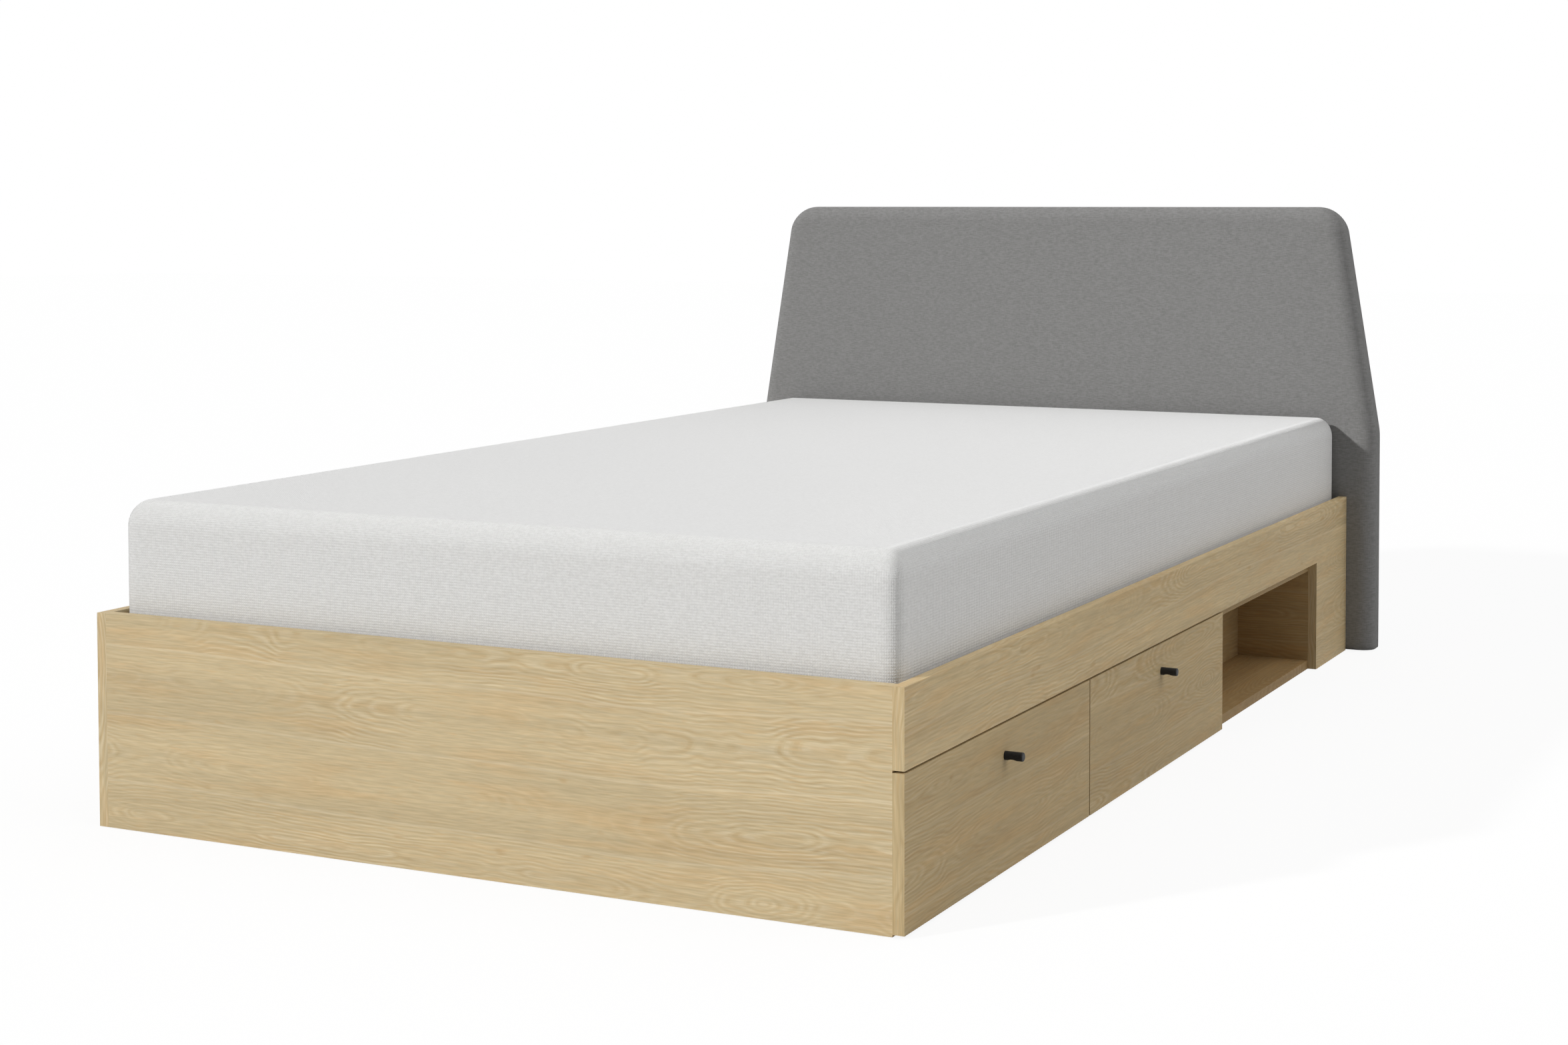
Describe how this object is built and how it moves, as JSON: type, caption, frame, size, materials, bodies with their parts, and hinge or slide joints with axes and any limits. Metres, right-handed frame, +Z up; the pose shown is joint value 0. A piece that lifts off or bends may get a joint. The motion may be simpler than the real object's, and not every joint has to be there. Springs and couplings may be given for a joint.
{
  "type": "youth bed",
  "caption": "Low youth bed of laminated board with side drawers on roller runners, an open niche, a slatted base, a mattress and an upholstered headboard.",
  "frame": {"origin": "on the floor, under the middle of the bed's outer box", "axes": "+X towards the drawer side, +Y towards the head end, +Z up"},
  "size_m": [1.351, 2.096, 0.868],
  "materials": {
    "oak_laminate": "satin",
    "drawer_board": "satin",
    "drawer_bottom": "satin",
    "pine": "matte",
    "beech_dowel": "matte",
    "webbing": "matte",
    "mattress_fabric": "matte",
    "mattress_foam": "matte",
    "headboard_fabric": "matte",
    "headboard_chipboard": "matte",
    "lining": "matte",
    "knob_black": "satin",
    "runner_steel": "satin",
    "zinc_steel": "satin",
    "cam_zinc": "satin",
    "roller_plastic": "satin"
  },
  "bodies": {
    "bed": {"cabinet_roller_axles": "zinc_steel", "cabinet_runner_screws": "zinc_steel", "cam_bolts": "zinc_steel", "cam_housings": "cam_zinc", "centre_partition": "oak_laminate", "cleat_screws": "zinc_steel", "drawer_1_foot_channel": "runner_steel", "drawer_1_head_channel": "runner_steel", "drawer_2_foot_channel": "runner_steel", "drawer_2_head_channel": "runner_steel", "drawer_divider": "oak_laminate", "footboard": "oak_laminate", "head_cross_panel": "oak_laminate", "headboard_board": "headboard_chipboard", "headboard_bolts": "zinc_steel", "headboard_lining": "lining", "headboard_nuts": "zinc_steel", "headboard_pad": "headboard_fabric", "left_side_panel": "oak_laminate", "left_slat_cleat": "pine", "mattress_core": "mattress_foam", "mattress_cover": "mattress_fabric", "niche_back": "oak_laminate", "niche_bottom": "oak_laminate", "niche_dowels": "beech_dowel", "niche_foot_wall": "oak_laminate", "niche_head_wall": "oak_laminate", "niche_top": "oak_laminate", "partition_screws": "zinc_steel", "right_side_panel": "oak_laminate", "right_slat_cleat": "pine", "slat_webbing": "webbing", "slats": "pine"},
    "drawer_1": {"drawer_1_back": "drawer_board", "drawer_1_bottom": "drawer_bottom", "drawer_1_dowels": "beech_dowel", "drawer_1_foot_side": "drawer_board", "drawer_1_front": "oak_laminate", "drawer_1_head_side": "drawer_board", "drawer_1_knob": "knob_black", "drawer_1_knob_screw": "zinc_steel", "drawer_1_roller_axles": "zinc_steel", "drawer_1_runner_screws": "zinc_steel", "drawer_1_runners": "runner_steel"},
    "front_rollers_1": {"drawer_1_front_rollers": "roller_plastic"},
    "rear_rollers_1": {"drawer_1_rear_rollers": "roller_plastic"},
    "drawer_2": {"drawer_2_back": "drawer_board", "drawer_2_bottom": "drawer_bottom", "drawer_2_dowels": "beech_dowel", "drawer_2_foot_side": "drawer_board", "drawer_2_front": "oak_laminate", "drawer_2_head_side": "drawer_board", "drawer_2_knob": "knob_black", "drawer_2_knob_screw": "zinc_steel", "drawer_2_roller_axles": "zinc_steel", "drawer_2_runner_screws": "zinc_steel", "drawer_2_runners": "runner_steel"},
    "front_rollers_2": {"drawer_2_front_rollers": "roller_plastic"},
    "rear_rollers_2": {"drawer_2_rear_rollers": "roller_plastic"}
  },
  "joints": [
    {"name": "drawer_1_slide", "type": "slide", "parent": "bed", "child": "drawer_1", "axis": [1, 0, 0], "range_m": [0, 0.375]},
    {"name": "front_rollers_1_turn", "type": "hinge", "parent": "bed", "child": "front_rollers_1", "pos_m": [0.594, -0.7335, 0.024], "axis": [0, 1, 0], "range_deg": [0, 2392.3]},
    {"name": "rear_rollers_1_turn", "type": "hinge", "parent": "drawer_1", "child": "rear_rollers_1", "pos_m": [0.121, -0.7335, 0.0285], "axis": [0, 1, 0], "range_deg": [0, 2392.3]},
    {"name": "drawer_2_slide", "type": "slide", "parent": "bed", "child": "drawer_2", "axis": [1, 0, 0], "range_m": [0, 0.375]},
    {"name": "front_rollers_2_turn", "type": "hinge", "parent": "bed", "child": "front_rollers_2", "pos_m": [0.594, -0.1205, 0.024], "axis": [0, 1, 0], "range_deg": [0, 2392.3]},
    {"name": "rear_rollers_2_turn", "type": "hinge", "parent": "drawer_2", "child": "rear_rollers_2", "pos_m": [0.121, -0.1205, 0.0285], "axis": [0, 1, 0], "range_deg": [0, 2392.3]}
  ],
  "couplings": [
    {"joint": "front_rollers_1_turn", "follows": "drawer_1_slide", "rad_per_m": 111.11},
    {"joint": "rear_rollers_1_turn", "follows": "drawer_1_slide", "rad_per_m": 111.11},
    {"joint": "front_rollers_2_turn", "follows": "drawer_2_slide", "rad_per_m": 111.11},
    {"joint": "rear_rollers_2_turn", "follows": "drawer_2_slide", "rad_per_m": 111.11}
  ]
}
